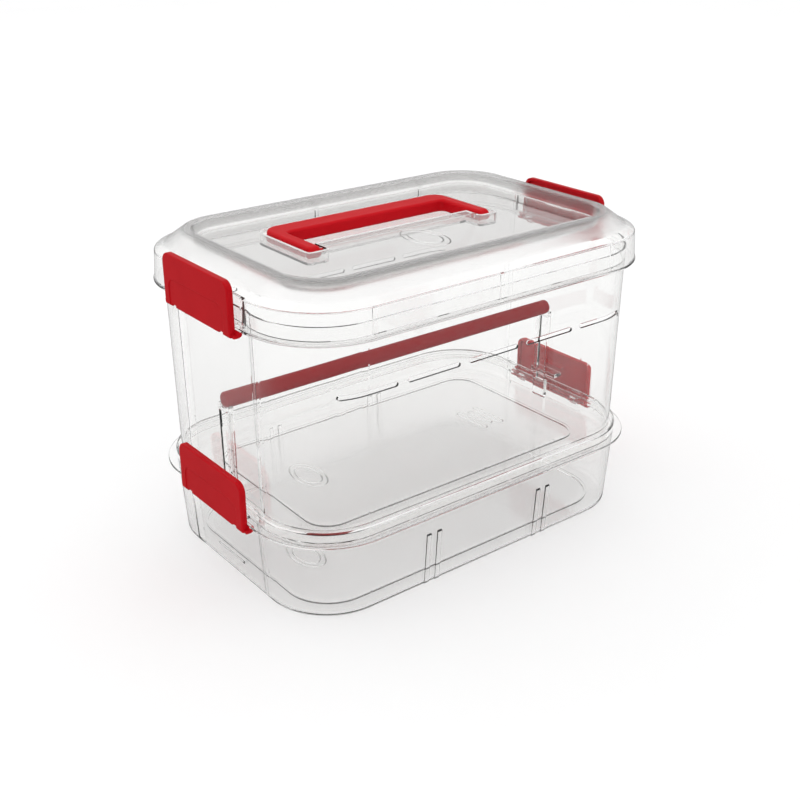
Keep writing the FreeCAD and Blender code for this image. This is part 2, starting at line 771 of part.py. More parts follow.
def carry_handle():
    """The folding handle: a wide grip on two arms with a pin at the end of each."""
    body = new_body("carry_handle")
    low = size("handle_low")
    thick = size("handle_thick")
    half = size("handle_half")
    tip = size("pivot_line") - thick / 2
    grip = new_sketch(body, "grip_outline", "XY_Plane", low)
    add_rounded_outline(grip, -half, half, tip, size("handle_back"), size("handle_corner"))
    pad(body, "grip", grip, thick)
    between = new_sketch(body, "between_arms", "XY_Plane", low + thick)
    inner = half - size("arm_wide")
    cut_start = tip - size("grip_cut_reach")
    add_rounded_outline(between, -inner, inner, cut_start, size("grip_front"), size("finger_round"))
    pocket(body, "finger_gap", between, thick)
    tips = new_sketch(body, "square_tips", "XY_Plane", low)
    for side in (1, -1):
        corners = [
            (inner * side, tip),
            (half * side, tip),
            (half * side, tip + size("handle_corner") + size("cut_clear")),
            (inner * side, tip + size("handle_corner") + size("cut_clear")),
        ]
        add_polygon(tips, corners)
    pad(body, "tips", tips, thick)
    round_edges(body, "tip_round", size("tip_round"), lambda e: is_tip_edge(e, tip.value))
    top = (low + thick).value
    round_edges(body, "soft_edges", size("handle_edge"), lambda e: is_grip_edge(e, low.value, top))
    axle = new_sketch(body, "pin_outline", "YZ_Plane", inner + size("overlap"))
    add_circle(axle, size("pivot_line"), low + thick / 2, size("handle_pin"))
    pad(body, "right_pin", axle, size("handle_pin_reach") + size("overlap"), back=True)
    axle = new_sketch(body, "pin_outline_left", "YZ_Plane", -inner - size("overlap"))
    add_circle(axle, size("pivot_line"), low + thick / 2, size("handle_pin"))
    pad(body, "left_pin", axle, size("handle_pin_reach") + size("overlap"))
    return body


def is_tip_edge(edge, tip):
    """Say whether an edge runs across the end of an arm, at its top or bottom."""
    box = edge.BoundBox
    across = box.XLength > 5 and box.YLength < 0.01 and box.ZLength < 0.01
    return across and abs(box.YMin - tip) < 0.01


def is_grip_edge(edge, low, top):
    """Say whether an edge runs along the top or bottom of the handle, clear of its tips."""
    box = edge.BoundBox
    level = lies_level(edge, low) or lies_level(edge, top)
    return level and box.YMax > size("grip_front").value - size("handle_edge").value * 2


def ribbon_dowel():
    """The round bar that lies in the bin's saddles and carries ribbon reels."""
    body = new_body("ribbon_dowel")
    section = new_sketch(body, "section", "YZ_Plane", 0)
    add_circle(section, 0, size("dowel_level"), size("dowel_radius"))
    pad(body, "bar", section, size("dowel_half") * 2, middle=True)
    round_edges(body, "ends", size("dowel_end_round"), lambda e: e.BoundBox.XLength < 0.01)
    return body


def clip(label, end, flange_top):
    """One snap clip: a plate with a rim, a lip with a barrel, notches and the pins in them.

    It is drawn on the right end with its flange's top face at zero, then turned and lifted.
    """
    body = new_body(label)
    half = size("clip_half")
    low = size("clip_low")
    high = size("clip_high")
    rim_face = size("clip_rim_face")
    rim = size("clip_rim_wide")
    face = new_sketch(body, "face_outline", "YZ_Plane", rim_face)
    add_rounded_outline(face, -half, half, low, high, size("clip_round"))
    pad(body, "plate", face, size("clip_face") - rim_face)
    square = new_sketch(body, "lower_corners", "YZ_Plane", rim_face)
    add_rectangle(square, -half, half, low, low + size("clip_round"))
    pad(body, "square_foot", square, size("clip_face") - rim_face)
    outermost = size("clip_face").value - 0.01
    round_edges(body, "face_edge", size("clip_edge"), lambda e: e.BoundBox.XMin > outermost)
    inside = new_sketch(body, "inside_outline", "YZ_Plane", size("clip_inner"))
    add_rounded_outline(inside, -half + rim, half - rim, low + rim, high - rim, size("clip_round") - rim)
    pocket(body, "inside", inside, size("clip_inner") - rim_face + size("cut_clear"))
    axis_x = size("pivot_out")
    axis_z = size("pivot_low")
    lip_half = size("lip_half")
    lip = new_sketch(body, "lip_outline", "XZ_Plane", 0)
    add_rectangle(lip, axis_x, size("clip_inner") + size("overlap"), low, axis_z)
    pad(body, "lip", lip, lip_half * 2, middle=True)
    barrel = new_sketch(body, "barrel_outline", "XZ_Plane", 0)
    add_circle(barrel, axis_x, axis_z, size("barrel_radius"))
    pad(body, "barrel", barrel, lip_half * 2, middle=True)
    bead = new_sketch(body, "bead_outline", "XZ_Plane", 0)
    bead_low = size("catch_level") + size("catch_high") / 2 + size("bead_gap")
    slope = size("catch_high") / 2
    corners = [
        (size("clip_inner") + size("overlap"), bead_low),
        (size("bead_out") + slope, bead_low),
        (size("bead_out"), bead_low + slope / 2),
        (size("bead_out"), bead_low + slope),
        (size("clip_inner") + size("overlap"), bead_low + size("bead_high")),
    ]
    add_polygon(bead, corners)
    pad(body, "bead", bead, size("bead_half") * 2, middle=True)
    notches = new_sketch(body, "notch_outline", "YZ_Plane", size("clip_inner"))
    nicks = new_sketch(body, "nick_outline", "YZ_Plane", size("clip_face") + size("cut_clear"))
    notch_half = size("notch_wide") / 2
    nick_half = size("nick_half")
    below = low - size("cut_clear")
    for side in (1, -1):
        middle_y = size("lug_place") * side
        add_rectangle(
            notches, middle_y - notch_half, middle_y + notch_half, below, size("notch_high")
        )
        add_rectangle(
            nicks, middle_y - nick_half, middle_y + nick_half, below, low + size("nick_high")
        )
    pocket(body, "notches", notches, size("clip_inner") - axis_x + size("barrel_radius") * 2)
    pocket(body, "nicks", nicks, size("clip_face") - size("clip_inner") + size("cut_clear") * 2)
    for name, side in (("front", -1), ("back", 1)):
        pin = new_sketch(body, f"{name}_pin_outline", "XZ_Plane", size("lug_place") * side)
        add_circle(pin, axis_x, axis_z, size("pin_radius"))
        pad(body, f"{name}_pin", pin, size("notch_wide") + size("cut_clear"), middle=True)
    grip = new_sketch(body, "grip_outline", "YZ_Plane", size("clip_face"))
    panel = size("grip_panel_half")
    panel_low = low - size("panel_cut_reach")
    add_rounded_outline(grip, -panel, panel, panel_low, size("grip_panel_high"), size("clip_round"))
    pocket(body, "grip_panel", grip, size("grip_panel_deep"))
    body.Placement.Rotation = FreeCAD.Rotation(FreeCAD.Vector(0, 0, 1), 0 if end == "right" else 180)
    body.setExpression("Placement.Base.z", flange_top.formula)
    return body


parts = [base_tray(), upper_bin(), lid(), carry_handle(), ribbon_dowel()]
for tier, flange in (("lower", "tray_flange_top"), ("upper", "bin_flange_top")):
    for end in ("left", "right"):
        parts.append(clip(f"{tier}_clip_{end}", end, size(flange)))
doc.recompute()

for item in doc.Objects:
    if "Invalid" in item.State or "Error" in item.State:
        raise RuntimeError(f"{item.Label} did not build: {item.State}")
for part in parts:
    if part.Shape.isNull() or not part.Shape.isValid() or len(part.Shape.Solids) != 1:
        raise RuntimeError(f"{part.Label} is not one valid solid")

os.makedirs("parts", exist_ok=True)
for part in parts:
    box = part.Shape.BoundBox
    print(f"{part.Label}: {part.Shape.Volume / 1000:.1f} cm3, x {box.XMin:.1f} to {box.XMax:.1f}, "
          f"y {box.YMin:.1f} to {box.YMax:.1f}, z {box.ZMin:.1f} to {box.ZMax:.1f}")
    part.Shape.exportStep(f"parts/{part.Label}.step")
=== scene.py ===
"""Art supply box: finishes, raised moulding marks, floor, lights and camera.

A clear stacked box with a tray, a bin and a lid, held together by four red clips, with a red
carry handle in the lid and a red ribbon dowel across the bin.
"""
import math

import bmesh
import bpy
from bpy.props import FloatProperty, FloatVectorProperty, PointerProperty
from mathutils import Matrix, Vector


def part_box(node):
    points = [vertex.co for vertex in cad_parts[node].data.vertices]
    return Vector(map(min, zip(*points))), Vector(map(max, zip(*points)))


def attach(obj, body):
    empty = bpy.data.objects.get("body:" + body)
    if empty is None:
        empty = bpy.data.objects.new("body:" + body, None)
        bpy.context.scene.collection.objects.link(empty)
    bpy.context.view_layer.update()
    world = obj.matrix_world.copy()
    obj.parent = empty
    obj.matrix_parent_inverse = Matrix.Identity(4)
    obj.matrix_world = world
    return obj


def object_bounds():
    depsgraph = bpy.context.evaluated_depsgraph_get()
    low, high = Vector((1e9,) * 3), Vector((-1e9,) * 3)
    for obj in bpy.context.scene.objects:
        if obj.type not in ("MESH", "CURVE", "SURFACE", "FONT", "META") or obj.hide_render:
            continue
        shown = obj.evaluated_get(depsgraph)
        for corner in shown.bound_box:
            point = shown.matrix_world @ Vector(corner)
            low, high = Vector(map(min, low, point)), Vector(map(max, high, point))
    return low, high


bl_info = {
    "name": "Art Supply Box",
    "version": (1, 0, 0),
    "blender": (4, 5, 0),
    "location": "View3D > Sidebar > Art Box",
    "description": "Finishes a clear stacked art supply box with red clips, handle and dowel",
    "category": "Object",
}

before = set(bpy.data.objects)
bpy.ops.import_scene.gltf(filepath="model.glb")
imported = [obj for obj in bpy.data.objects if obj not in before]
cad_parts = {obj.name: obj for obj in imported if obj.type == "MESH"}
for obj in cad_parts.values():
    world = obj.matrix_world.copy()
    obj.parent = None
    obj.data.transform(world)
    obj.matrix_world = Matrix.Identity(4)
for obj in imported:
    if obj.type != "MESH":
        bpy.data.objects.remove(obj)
cad_low, cad_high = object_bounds()

TRAY_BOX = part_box("base_tray")
BIN_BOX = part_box("upper_bin")
LID_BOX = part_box("lid")

TRAY_FOOT = TRAY_BOX[0][2]
BIN_FOOT = BIN_BOX[0][2]
LID_TOP = LID_BOX[1][2]

# All lengths are in metres. Each floor's raised panel is FLOOR_RISE above the foot below it, and the
# lid's sunken plate is PLATE_DROP below the lid's top. SEATING keeps a mark just clear of its wall.
FLOOR_RISE = 0.0032
PLATE_DROP = 0.0088
SEATING = 0.00002

# Finish patches, frost and polish, where the crest's and plate's colours are painted shade: inset from
# the node's sides, corner radius, lowest and highest level from the tray's or bin's foot or from the
# lid's top, and half the width of the soft border.
TRAY_FLOOR_PATCH = (0.0308, 0.0360, -0.0100, 0.0035, 0.0006)
BIN_FLOOR_PATCH = (0.0456, 0.0200, -0.0045, 0.0040, 0.0006)
LID_SLOPE_PATCH = (0.0075, 0.0525, -0.0101, 0.0500, 0.0020)
LID_CREST_PATCH = (0.0215, 0.0385, -0.0068, 0.0500, 0.0010)
LID_PLATE_PATCH = (0.0325, 0.0275, -0.0123, -0.0078, 0.0006)
TRAY_FLOOR_ROUGHNESS = 0.10
BIN_FLOOR_ROUGHNESS = 0.12
PLATE_ROUGHNESS = 0.008

# Centres of the raised marks, the share of its size at which each oval is repeated inside itself,
# and the bars on the bin's floor: shift along X and half length of each, and their end radius.
LID_MARK_CENTRE = (0.0, -0.0293)
BIN_MARK_CENTRE = (-0.0905, -0.0002)
TRAY_MARK_CENTRE = (-0.1080, -0.0202)
OVAL_SHARES = (1.0, 0.72)
BARS_CENTRE = (0.0820, -0.0040)
BARS = ((-0.009, 0.018), (0.0, 0.014), (0.009, 0.018))
BAR_RADIUS = 0.0021

# The floor lies FLOOR_DROP under the box. The sky's grey rises from the lowest to the highest
# direction, by way of these places along it.
FLOOR_DROP = 0.0002
FLOOR_SEGMENTS = 96
SWEEP_STEPS = 12
SKY_LOWEST = 0.27
SKY_HIGHEST = 1.1
SKY_BETWEEN = ((0.26, 0.62), (0.64, 1.0))
LAMP_PLACE = (-0.9, 1.1, 2.0)
LAMP_TARGET = (0.0, 0.0, 0.1)
LAMP_WIDTH = 1.6

RED_NODES = {
    "clip": (
        "lower_clip_left",
        "lower_clip_right",
        "upper_clip_left",
        "upper_clip_right",
    ),
    "handle": ("carry_handle",),
    "dowel": ("ribbon_dowel",),
}


# ---------------------------------------------------------------- properties


class ArtBoxClearProps(bpy.types.PropertyGroup):
    """Clear moulded plastic of the tray, bin and lid."""

    tint: FloatVectorProperty(
        name="Tint",
        description="Colour that each wall gives to what is seen through it",
        subtype="COLOR",
        size=3,
        min=0.0,
        max=1.0,
        default=(0.988, 0.988, 0.984),
    )
    frost_tint: FloatVectorProperty(
        name="Frost tint",
        description="Colour of the lightly frosted floors and lid slope",
        subtype="COLOR",
        size=3,
        min=0.0,
        max=1.0,
        default=(0.982, 0.980, 0.976),
    )
    # Painted shade: grey laid into the polished sunken plate's colour to darken it.
    plate_painted_shade: FloatVectorProperty(
        name="Plate tint",
        description="Colour of the lid's sunken plate",
        subtype="COLOR",
        size=3,
        min=0.0,
        max=1.0,
        default=(0.79, 0.782, 0.776),
    )
    # The crest's frost is real roughness; its dark grey colour is painted shade.
    crest_frost_and_painted_shade: FloatVectorProperty(
        name="Crest tint",
        description="Colour of the frosted crest that runs round the lid",
        subtype="COLOR",
        size=3,
        min=0.0,
        max=1.0,
        default=(0.66, 0.655, 0.65),
    )
    shade: FloatVectorProperty(
        name="Shade",
        description="How much lamp light one surface lets through",
        subtype="COLOR",
        size=3,
        min=0.0,
        max=1.0,
        default=(0.945, 0.945, 0.945),
    )
    roughness: FloatProperty(
        name="Roughness",
        description="Roughness of the polished walls",
        subtype="FACTOR",
        min=0.0,
        max=1.0,
        default=0.004,
    )
    frost_roughness: FloatProperty(
        name="Frost roughness",
        description="Roughness of the frosted slope and crest round the lid",
        subtype="FACTOR",
        min=0.0,
        max=1.0,
        default=0.24,
    )
    density: FloatProperty(
        name="Edge density",
        description="Absorption along the plastic, which greys long edge-on paths",
        min=0.0,
        default=2.5,
    )


class ArtBoxRedProps(bpy.types.PropertyGroup):
    """Red moulded plastic of the clips, handle and dowel."""

    colour: FloatVectorProperty(
        name="Colour",
        description="Colour of the red plastic",
        subtype="COLOR",
        size=3,
        min=0.0,
        max=1.0,
        default=(0.46, 0.003, 0.008),
    )
    # Painted highlight: brighter red laid on the convex edges where light catches them.
    edge_highlight_colour: FloatVectorProperty(
        name="Edge colour",
        description="Brighter red of the thin rounded edges",
        subtype="COLOR",
        size=3,
        min=0.0,
        max=1.0,
        default=(0.64, 0.004, 0.009),
    )
    roughness: FloatProperty(
        name="Roughness",
        description="Roughness of the moulded faces",
        subtype="FACTOR",
        min=0.0,
        max=1.0,
        default=0.42,
    )
    edge_radius: FloatProperty(
        name="Edge radius",
        description="Softness of the moulded edges",
        subtype="DISTANCE",
        unit="LENGTH",
        min=0.0,
        default=0.0006,
    )


class ArtBoxMarkProps(bpy.types.PropertyGroup):
    """Plain raised marks moulded into the lid plate and the two floors."""

    bead_width: FloatProperty(
        name="Bead width",
        description="Width of the raised line",
        subtype="DISTANCE",
        unit="LENGTH",
        min=0.0,
        default=0.0011,
    )
    bead_height: FloatProperty(
        name="Bead height",
        description="Height of the raised line above its wall",
        subtype="DISTANCE",
        unit="LENGTH",
        min=0.0,
        default=0.00035,
    )
    lid_mark: FloatVectorProperty(
        name="Lid mark",
        description="Half length along X and along Y of the lid's oval",
        subtype="XYZ",
        unit="LENGTH",
        size=2,
        default=(0.0140, 0.0235),
    )
    floor_mark: FloatVectorProperty(
        name="Floor mark",
        description="Half length along X and along Y of each floor's oval",
        subtype="XYZ",
        unit="LENGTH",
        size=2,
        default=(0.0115, 0.0210),
    )


class ArtBoxStageProps(bpy.types.PropertyGroup):
    """Floor, lights and camera."""

    floor_radius: FloatProperty(
        name="Floor radius",
        description="Radius of the level part of the pale floor",
        subtype="DISTANCE",
        unit="LENGTH",
        min=0.1,
        default=6.0,
    )
    sweep_radius: FloatProperty(
        name="Sweep radius",
        description="Radius of the curve where the floor turns up into the backdrop",
        subtype="DISTANCE",
        unit="LENGTH",
        min=0.1,
        default=4.5,
    )
    floor_colour: FloatVectorProperty(
        name="Floor colour",
        description="Colour of the floor",
        subtype="COLOR",
        size=3,
        min=0.0,
        max=1.0,
        default=(0.90, 0.90, 0.90),
    )
    sky_strength: FloatProperty(
        name="Sky strength",
        description="Strength of the even light from all round",
        min=0.0,
        default=1.18,
    )
    lamp_power: FloatProperty(
        name="Lamp power",
        description="Power of the large soft lamp",
        unit="POWER",
        min=0.0,
        default=3.0,
    )
    camera_place: FloatVectorProperty(
        name="Camera place",
        description="Where the camera stands",
        subtype="XYZ",
        unit="LENGTH",
        size=3,
        default=(-0.5151, -0.6580, 0.4778),
    )
    camera_target: FloatVectorProperty(
        name="Camera target",
        description="The point the camera looks at",
        subtype="XYZ",
        unit="LENGTH",
        size=3,
        default=(-0.0003, 0.0002, 0.0950),
    )
    focal_length: FloatProperty(
        name="Focal length",
        description="Focal length of the camera in millimetres",
        min=1.0,
        default=51.7,
    )


# ---------------------------------------------------------- shader building


def add_node(tree, kind, **values):
    """Adds a shader node and sets its named inputs."""
    node = tree.nodes.new(kind)
    for name, value in values.items():
        node.inputs[name.replace("_", " ")].default_value = value
    return node


def add_math(tree, operation, first, second=None):
    """Adds a Math node; each operand is a number or an output socket."""
    node = tree.nodes.new("ShaderNodeMath")
    node.operation = operation
    for index, operand in enumerate((first, second)):
        if operand is None:
            continue
        if isinstance(operand, (int, float)):
            node.inputs[index].default_value = operand
        else:
            tree.links.new(operand, node.inputs[index])
    return node.outputs[0]


def add_range(tree, value, low, high, out_low=0.0, out_high=1.0):
    """Maps value from low..high to out_low..out_high, clamped."""
    node = tree.nodes.new("ShaderNodeMapRange")
    node.clamp = True
    names = ("Value", "From Min", "From Max", "To Min", "To Max")
    for name, operand in zip(names, (value, low, high, out_low, out_high)):
        if isinstance(operand, (int, float)):
            node.inputs[name].default_value = operand
        else:
            tree.links.new(operand, node.inputs[name])
    return node.outputs["Result"]


def mix_colours(tree, factor, first, second):
    """Mixes two colours; each is a tuple or an output socket."""
    node = tree.nodes.new("ShaderNodeMix")
    node.data_type = "RGBA"
    tree.links.new(factor, node.inputs["Factor"])
    for name, operand in (("A", first), ("B", second)):
        target = next(s for s in node.inputs if s.identifier == f"{name}_Color")
        if isinstance(operand, bpy.types.NodeSocket):
            tree.links.new(operand, target)
        else:
            target.default_value = (*operand[:3], 1.0)
    return next(s for s in node.outputs if s.identifier == "Result_Color")


def new_group(name, inputs, outputs):
    """Makes an empty shader node group with float sockets."""
    tree = bpy.data.node_groups.new(name, "ShaderNodeTree")
    for label, default in inputs:
        socket = tree.interface.new_socket(
            label, in_out="INPUT", socket_type="NodeSocketFloat"
        )
        socket.default_value = default
    for label, kind in outputs:
        tree.interface.new_socket(label, in_out="OUTPUT", socket_type=kind)
    return tree, tree.nodes.new("NodeGroupInput"), tree.nodes.new("NodeGroupOutput")


def use_group(tree, group, **values):
    """Places a node group and sets its named inputs."""
    node = tree.nodes.new("ShaderNodeGroup")
    node.node_tree = group
    for name, value in values.items():
        node.inputs[name.replace("_", " ")].default_value = value
    return node


def mould_flow_group():
    """Slow streaks and fine speckle left in plastic by the mould."""
    known = bpy.data.node_groups.get("Mould flow")
    if known:
        return known
    tree, entry, leave = new_group(
        "Mould flow",
        (("Streak scale", 14.0), ("Speckle scale", 900.0), ("Stretch", 4.0)),
        (("Streaks", "NodeSocketFloat"), ("Speckle", "NodeSocketFloat")),
    )
    place = tree.nodes.new("ShaderNodeTexCoord")
    split = tree.nodes.new("ShaderNodeSeparateXYZ")
    tree.links.new(place.outputs["Object"], split.inputs[0])
    joined = tree.nodes.new("ShaderNodeCombineXYZ")
    squeezed = add_math(tree, "DIVIDE", split.outputs["X"], entry.outputs["Stretch"])
    tree.links.new(squeezed, joined.inputs["X"])
    tree.links.new(split.outputs["Y"], joined.inputs["Y"])
    tree.links.new(split.outputs["Z"], joined.inputs["Z"])
    streaks = add_node(
        tree, "ShaderNodeTexNoise", Detail=3.0, Roughness=0.55, Distortion=0.6
    )
    tree.links.new(joined.outputs[0], streaks.inputs["Vector"])
    tree.links.new(entry.outputs["Streak scale"], streaks.inputs["Scale"])
    speckle = add_node(tree, "ShaderNodeTexNoise", Detail=2.0, Roughness=0.7)
    tree.links.new(place.outputs["Object"], speckle.inputs["Vector"])
    tree.links.new(entry.outputs["Speckle scale"], speckle.inputs["Scale"])
    for label, node in (("Streaks", streaks), ("Speckle", speckle)):
        spread = add_range(tree, node.outputs["Fac"], 0.3, 0.7)
        tree.links.new(spread, leave.inputs[label])
    return tree


def rounded_patch_group():
    """Mask of a rounded rectangle seen from above, between two heights."""
    known = bpy.data.node_groups.get("Rounded patch")
    if known:
        return known
    tree, entry, leave = new_group(
        "Rounded patch",
        (
            ("Half length", 0.1),
            ("Half width", 0.1),
            ("Corner", 0.02),
            ("Fade", 0.0006),
            ("Low", 0.0),
            ("High", 1.0),
        ),
        (("Mask", "NodeSocketFloat"),),
    )
    place = tree.nodes.new("ShaderNodeTexCoord")
    split = tree.nodes.new("ShaderNodeSeparateXYZ")
    tree.links.new(place.outputs["Object"], split.inputs[0])
    over = []
    for axis, label in (("X", "Half length"), ("Y", "Half width")):
        straight = add_math(tree, "SUBTRACT", entry.outputs[label], entry.outputs["Corner"])
        distance = add_math(tree, "ABSOLUTE", split.outputs[axis])
        over.append(add_math(tree, "SUBTRACT", distance, straight))
    outside = [add_math(tree, "MAXIMUM", side, 0.0) for side in over]
    squares = [add_math(tree, "MULTIPLY", side, side) for side in outside]
    rounded = add_math(tree, "SQRT", add_math(tree, "ADD", squares[0], squares[1]))
    inside = add_math(tree, "MINIMUM", add_math(tree, "MAXIMUM", over[0], over[1]), 0.0)
    signed = add_math(
        tree, "SUBTRACT", add_math(tree, "ADD", rounded, inside), entry.outputs["Corner"]
    )
    within = add_range(
        tree,
        signed,
        add_math(tree, "MULTIPLY", entry.outputs["Fade"], -1.0),
        entry.outputs["Fade"],
        1.0,
        0.0,
    )
    above = add_math(tree, "GREATER_THAN", split.outputs["Z"], entry.outputs["Low"])
    below = add_math(tree, "LESS_THAN", split.outputs["Z"], entry.outputs["High"])
    band = add_math(tree, "MULTIPLY", above, below)
    tree.links.new(add_math(tree, "MULTIPLY", within, band), leave.inputs["Mask"])
    return tree


def soft_edge_group():
    """Rounded normal and a mask of the convex edges."""
    known = bpy.data.node_groups.get("Soft edge")
    if known:
        return known
    tree, entry, leave = new_group(
        "Soft edge",
        (("Radius", 0.0006),),
        (("Edge", "NodeSocketFloat"), ("Normal", "NodeSocketVector")),
    )
    bevel = tree.nodes.new("ShaderNodeBevel")
    bevel.samples = 6
    tree.links.new(entry.outputs["Radius"], bevel.inputs["Radius"])
    shape = tree.nodes.new("ShaderNodeNewGeometry")
    agree = tree.nodes.new("ShaderNodeVectorMath")
    agree.operation = "DOT_PRODUCT"
    tree.links.new(bevel.outputs["Normal"], agree.inputs[0])
    tree.links.new(shape.outputs["Normal"], agree.inputs[1])
    edge = add_range(tree, agree.outputs["Value"], 0.82, 0.995, 1.0, 0.0)
    tree.links.new(edge, leave.inputs["Edge"])
    tree.links.new(bevel.outputs["Normal"], leave.inputs["Normal"])
    return tree


def new_material(name):
    """Makes an empty node material and returns it with its tree and output."""
    material = bpy.data.materials.new(name)
    material.use_nodes = True
    tree = material.node_tree
    tree.nodes.clear()
    return material, tree, tree.nodes.new("ShaderNodeOutputMaterial")


def clear_material(name, patches):
    """Clear moulded plastic; patches are (group inputs, colour, roughness), and the lid crest's and
    plate's patch colours are painted shade.
    """
    props = bpy.context.scene.art_box_clear
    material, tree, output = new_material(name)
    flow = use_group(tree, mould_flow_group(), Streak_scale=16.0, Speckle_scale=1400.0)
    haze = add_range(tree, flow.outputs["Streaks"], 0.0, 1.0, 0.0, 0.012)
    roughness = add_math(tree, "ADD", haze, props.roughness)
    streak_shade = 0.985
    speckle_shade = 0.94
    darker = tuple(streak_shade * channel for channel in props.tint)
    colour = mix_colours(tree, flow.outputs["Streaks"], props.tint, darker)
    # For the lid's crest and plate, the patch colour is painted shade.
    for area, patch_colour, patch_roughness in patches:
        mask = use_group(tree, rounded_patch_group(), **area).outputs["Mask"]
        mottled = tuple(speckle_shade * channel for channel in patch_colour)
        finish = mix_colours(tree, flow.outputs["Speckle"], patch_colour, mottled)
        colour = mix_colours(tree, mask, colour, finish)
        roughness = add_range(tree, mask, 0.0, 1.0, roughness, patch_roughness)
    bump = add_node(tree, "ShaderNodeBump", Strength=0.12, Distance=0.00012)
    tree.links.new(flow.outputs["Streaks"], bump.inputs["Height"])
    glass = add_node(
        tree, "ShaderNodeBsdfPrincipled", Metallic=0.0, IOR=1.45, Transmission_Weight=1.0
    )
    tree.links.new(colour, glass.inputs["Base Color"])
    tree.links.new(roughness, glass.inputs["Roughness"])
    tree.links.new(bump.outputs["Normal"], glass.inputs["Normal"])
    straight = add_node(tree, "ShaderNodeBsdfTransparent", Color=(*props.shade, 1.0))
    light = tree.nodes.new("ShaderNodeLightPath")
    passing = add_math(
        tree, "MAXIMUM", light.outputs["Is Shadow Ray"], light.outputs["Is Diffuse Ray"]
    )
    mix = tree.nodes.new("ShaderNodeMixShader")
    tree.links.new(passing, mix.inputs[0])
    tree.links.new(glass.outputs[0], mix.inputs[1])
    tree.links.new(straight.outputs[0], mix.inputs[2])
    tree.links.new(mix.outputs[0], output.inputs["Surface"])
    absorb = add_node(
        tree, "ShaderNodeVolumeAbsorption", Color=(0.5, 0.5, 0.49, 1.0), Density=props.density
    )
    tree.links.new(absorb.outputs[0], output.inputs["Volume"])
    return material


def red_material(name, streak_scale, stretch, light_shade_factor, roughness_shift):
    """Red moulded plastic with a fine grain, a painted highlight on its convex edges and a painted light
    and shade factor for each part.
    """
    props = bpy.context.scene.art_box_red
    # Painted light and shade: each part's red is scaled by its own factor, lighter for the handle and
    # darker for the dowel in the bin.
    painted_light_red = tuple(light_shade_factor * channel for channel in props.colour)
    material, tree, output = new_material(name)
    flow = use_group(
        tree,
        mould_flow_group(),
        Streak_scale=streak_scale,
        Speckle_scale=1600.0,
        Stretch=stretch,
    )
    edges = use_group(tree, soft_edge_group(), Radius=props.edge_radius)
    streak_shade = 0.93
    highlight_strength = 0.6
    deep = tuple(streak_shade * channel for channel in painted_light_red)
    body = mix_colours(tree, flow.outputs["Streaks"], painted_light_red, deep)
    # Painted highlight: the edge mask lightens the red towards the highlight colour.
    highlight_share = add_math(tree, "MULTIPLY", edges.outputs["Edge"], highlight_strength * light_shade_factor)
    colour = mix_colours(tree, highlight_share, body, props.edge_highlight_colour)
    base = props.roughness + roughness_shift
    grain = add_range(tree, flow.outputs["Speckle"], 0.0, 1.0, base - 0.04, base + 0.05)
    streak = add_range(tree, flow.outputs["Streaks"], 0.0, 1.0, -0.03, 0.03)
    roughness = add_math(tree, "ADD", grain, streak)
    bump = add_node(tree, "ShaderNodeBump", Strength=0.18, Distance=0.00005)
    tree.links.new(flow.outputs["Speckle"], bump.inputs["Height"])
    tree.links.new(edges.outputs["Normal"], bump.inputs["Normal"])
    plastic = add_node(
        tree, "ShaderNodeBsdfPrincipled", Metallic=0.0, IOR=1.46, Specular_IOR_Level=0.08
    )
    tree.links.new(colour, plastic.inputs["Base Color"])
    tree.links.new(roughness, plastic.inputs["Roughness"])
    tree.links.new(bump.outputs["Normal"], plastic.inputs["Normal"])
    tree.links.new(plastic.outputs[0], output.inputs["Surface"])
    return material


def dress(node, material):
    """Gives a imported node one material."""
    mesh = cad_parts[node].data
    mesh.materials.clear()
    mesh.materials.append(material)


# ------------------------------------------------------------ mesh building


def oval_path(centre, half_x, half_y, steps=96):
    """Closed list of points round an ellipse."""
    turns = [2.0 * math.pi * index / steps for index in range(steps)]
    return [
        (centre[0] + half_x * math.cos(turn), centre[1] + half_y * math.sin(turn))
        for turn in turns
    ]


def pill_path(centre, half_y, radius, steps=12):
    """Closed list of points round a slot shape that lies along Y."""
    points = []
    for end, start in ((1.0, 0.0), (-1.0, math.pi)):
        for index in range(steps + 1):
            turn = start + math.pi * index / steps
            points.append(
                (
                    centre[0] + radius * math.cos(turn),
                    centre[1] + end * (half_y - radius) + radius * math.sin(turn),
                )
            )
    return points


def add_bead(mesh, path, width, height, level, steps=6):
    """Sweeps a low domed bead along a closed path lying at one height."""
    rings = []
    count = len(path)
    for index, (x, y) in enumerate(path):
        before = path[index - 1]
        after = path[(index + 1) % count]
        along = Vector((after[0] - before[0], after[1] - before[1])).normalized()
        across = Vector((along.y, -along.x))
        ring = []
        for step in range(steps + 1):
            turn = math.pi * step / steps
            shift = -0.5 * width * math.cos(turn)
            rise = height * math.sin(turn)
            ring.append(
                mesh.verts.new((x + across.x * shift, y + across.y * shift, level + rise))
            )
        rings.append(ring)
    for index, ring in enumerate(rings):
        following = rings[(index + 1) % count]
        for step in range(steps + 1):
            other = (step + 1) % (steps + 1)
            mesh.faces.new((ring[step], ring[other], following[other], following[step]))


def finish_mesh(name, mesh, material, body):
    """Makes the object, smooths it and rides it on its body."""
    bmesh.ops.recalc_face_normals(mesh, faces=mesh.faces)
    data = bpy.data.meshes.new(name)
    mesh.to_mesh(data)
    mesh.free()
    data.polygons.foreach_set("use_smooth", [True] * len(data.polygons))
    data.materials.append(material)
    piece = bpy.data.objects.new(name, data)
    bpy.context.scene.collection.objects.link(piece)
    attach(piece, body)


def inset_patch(box, level, patch):
    """Gives one finish patch as group inputs, set in from a node's sides about a level."""
    inset, corner, low, high, fade = patch
    return {
        "Half_length": box[1][0] - inset,
        "Half_width": box[1][1] - inset,
        "Corner": corner,
        "Low": level + low,
        "High": level + high,
        "Fade": fade,
    }


# ---------------------------------------------------------------- operators


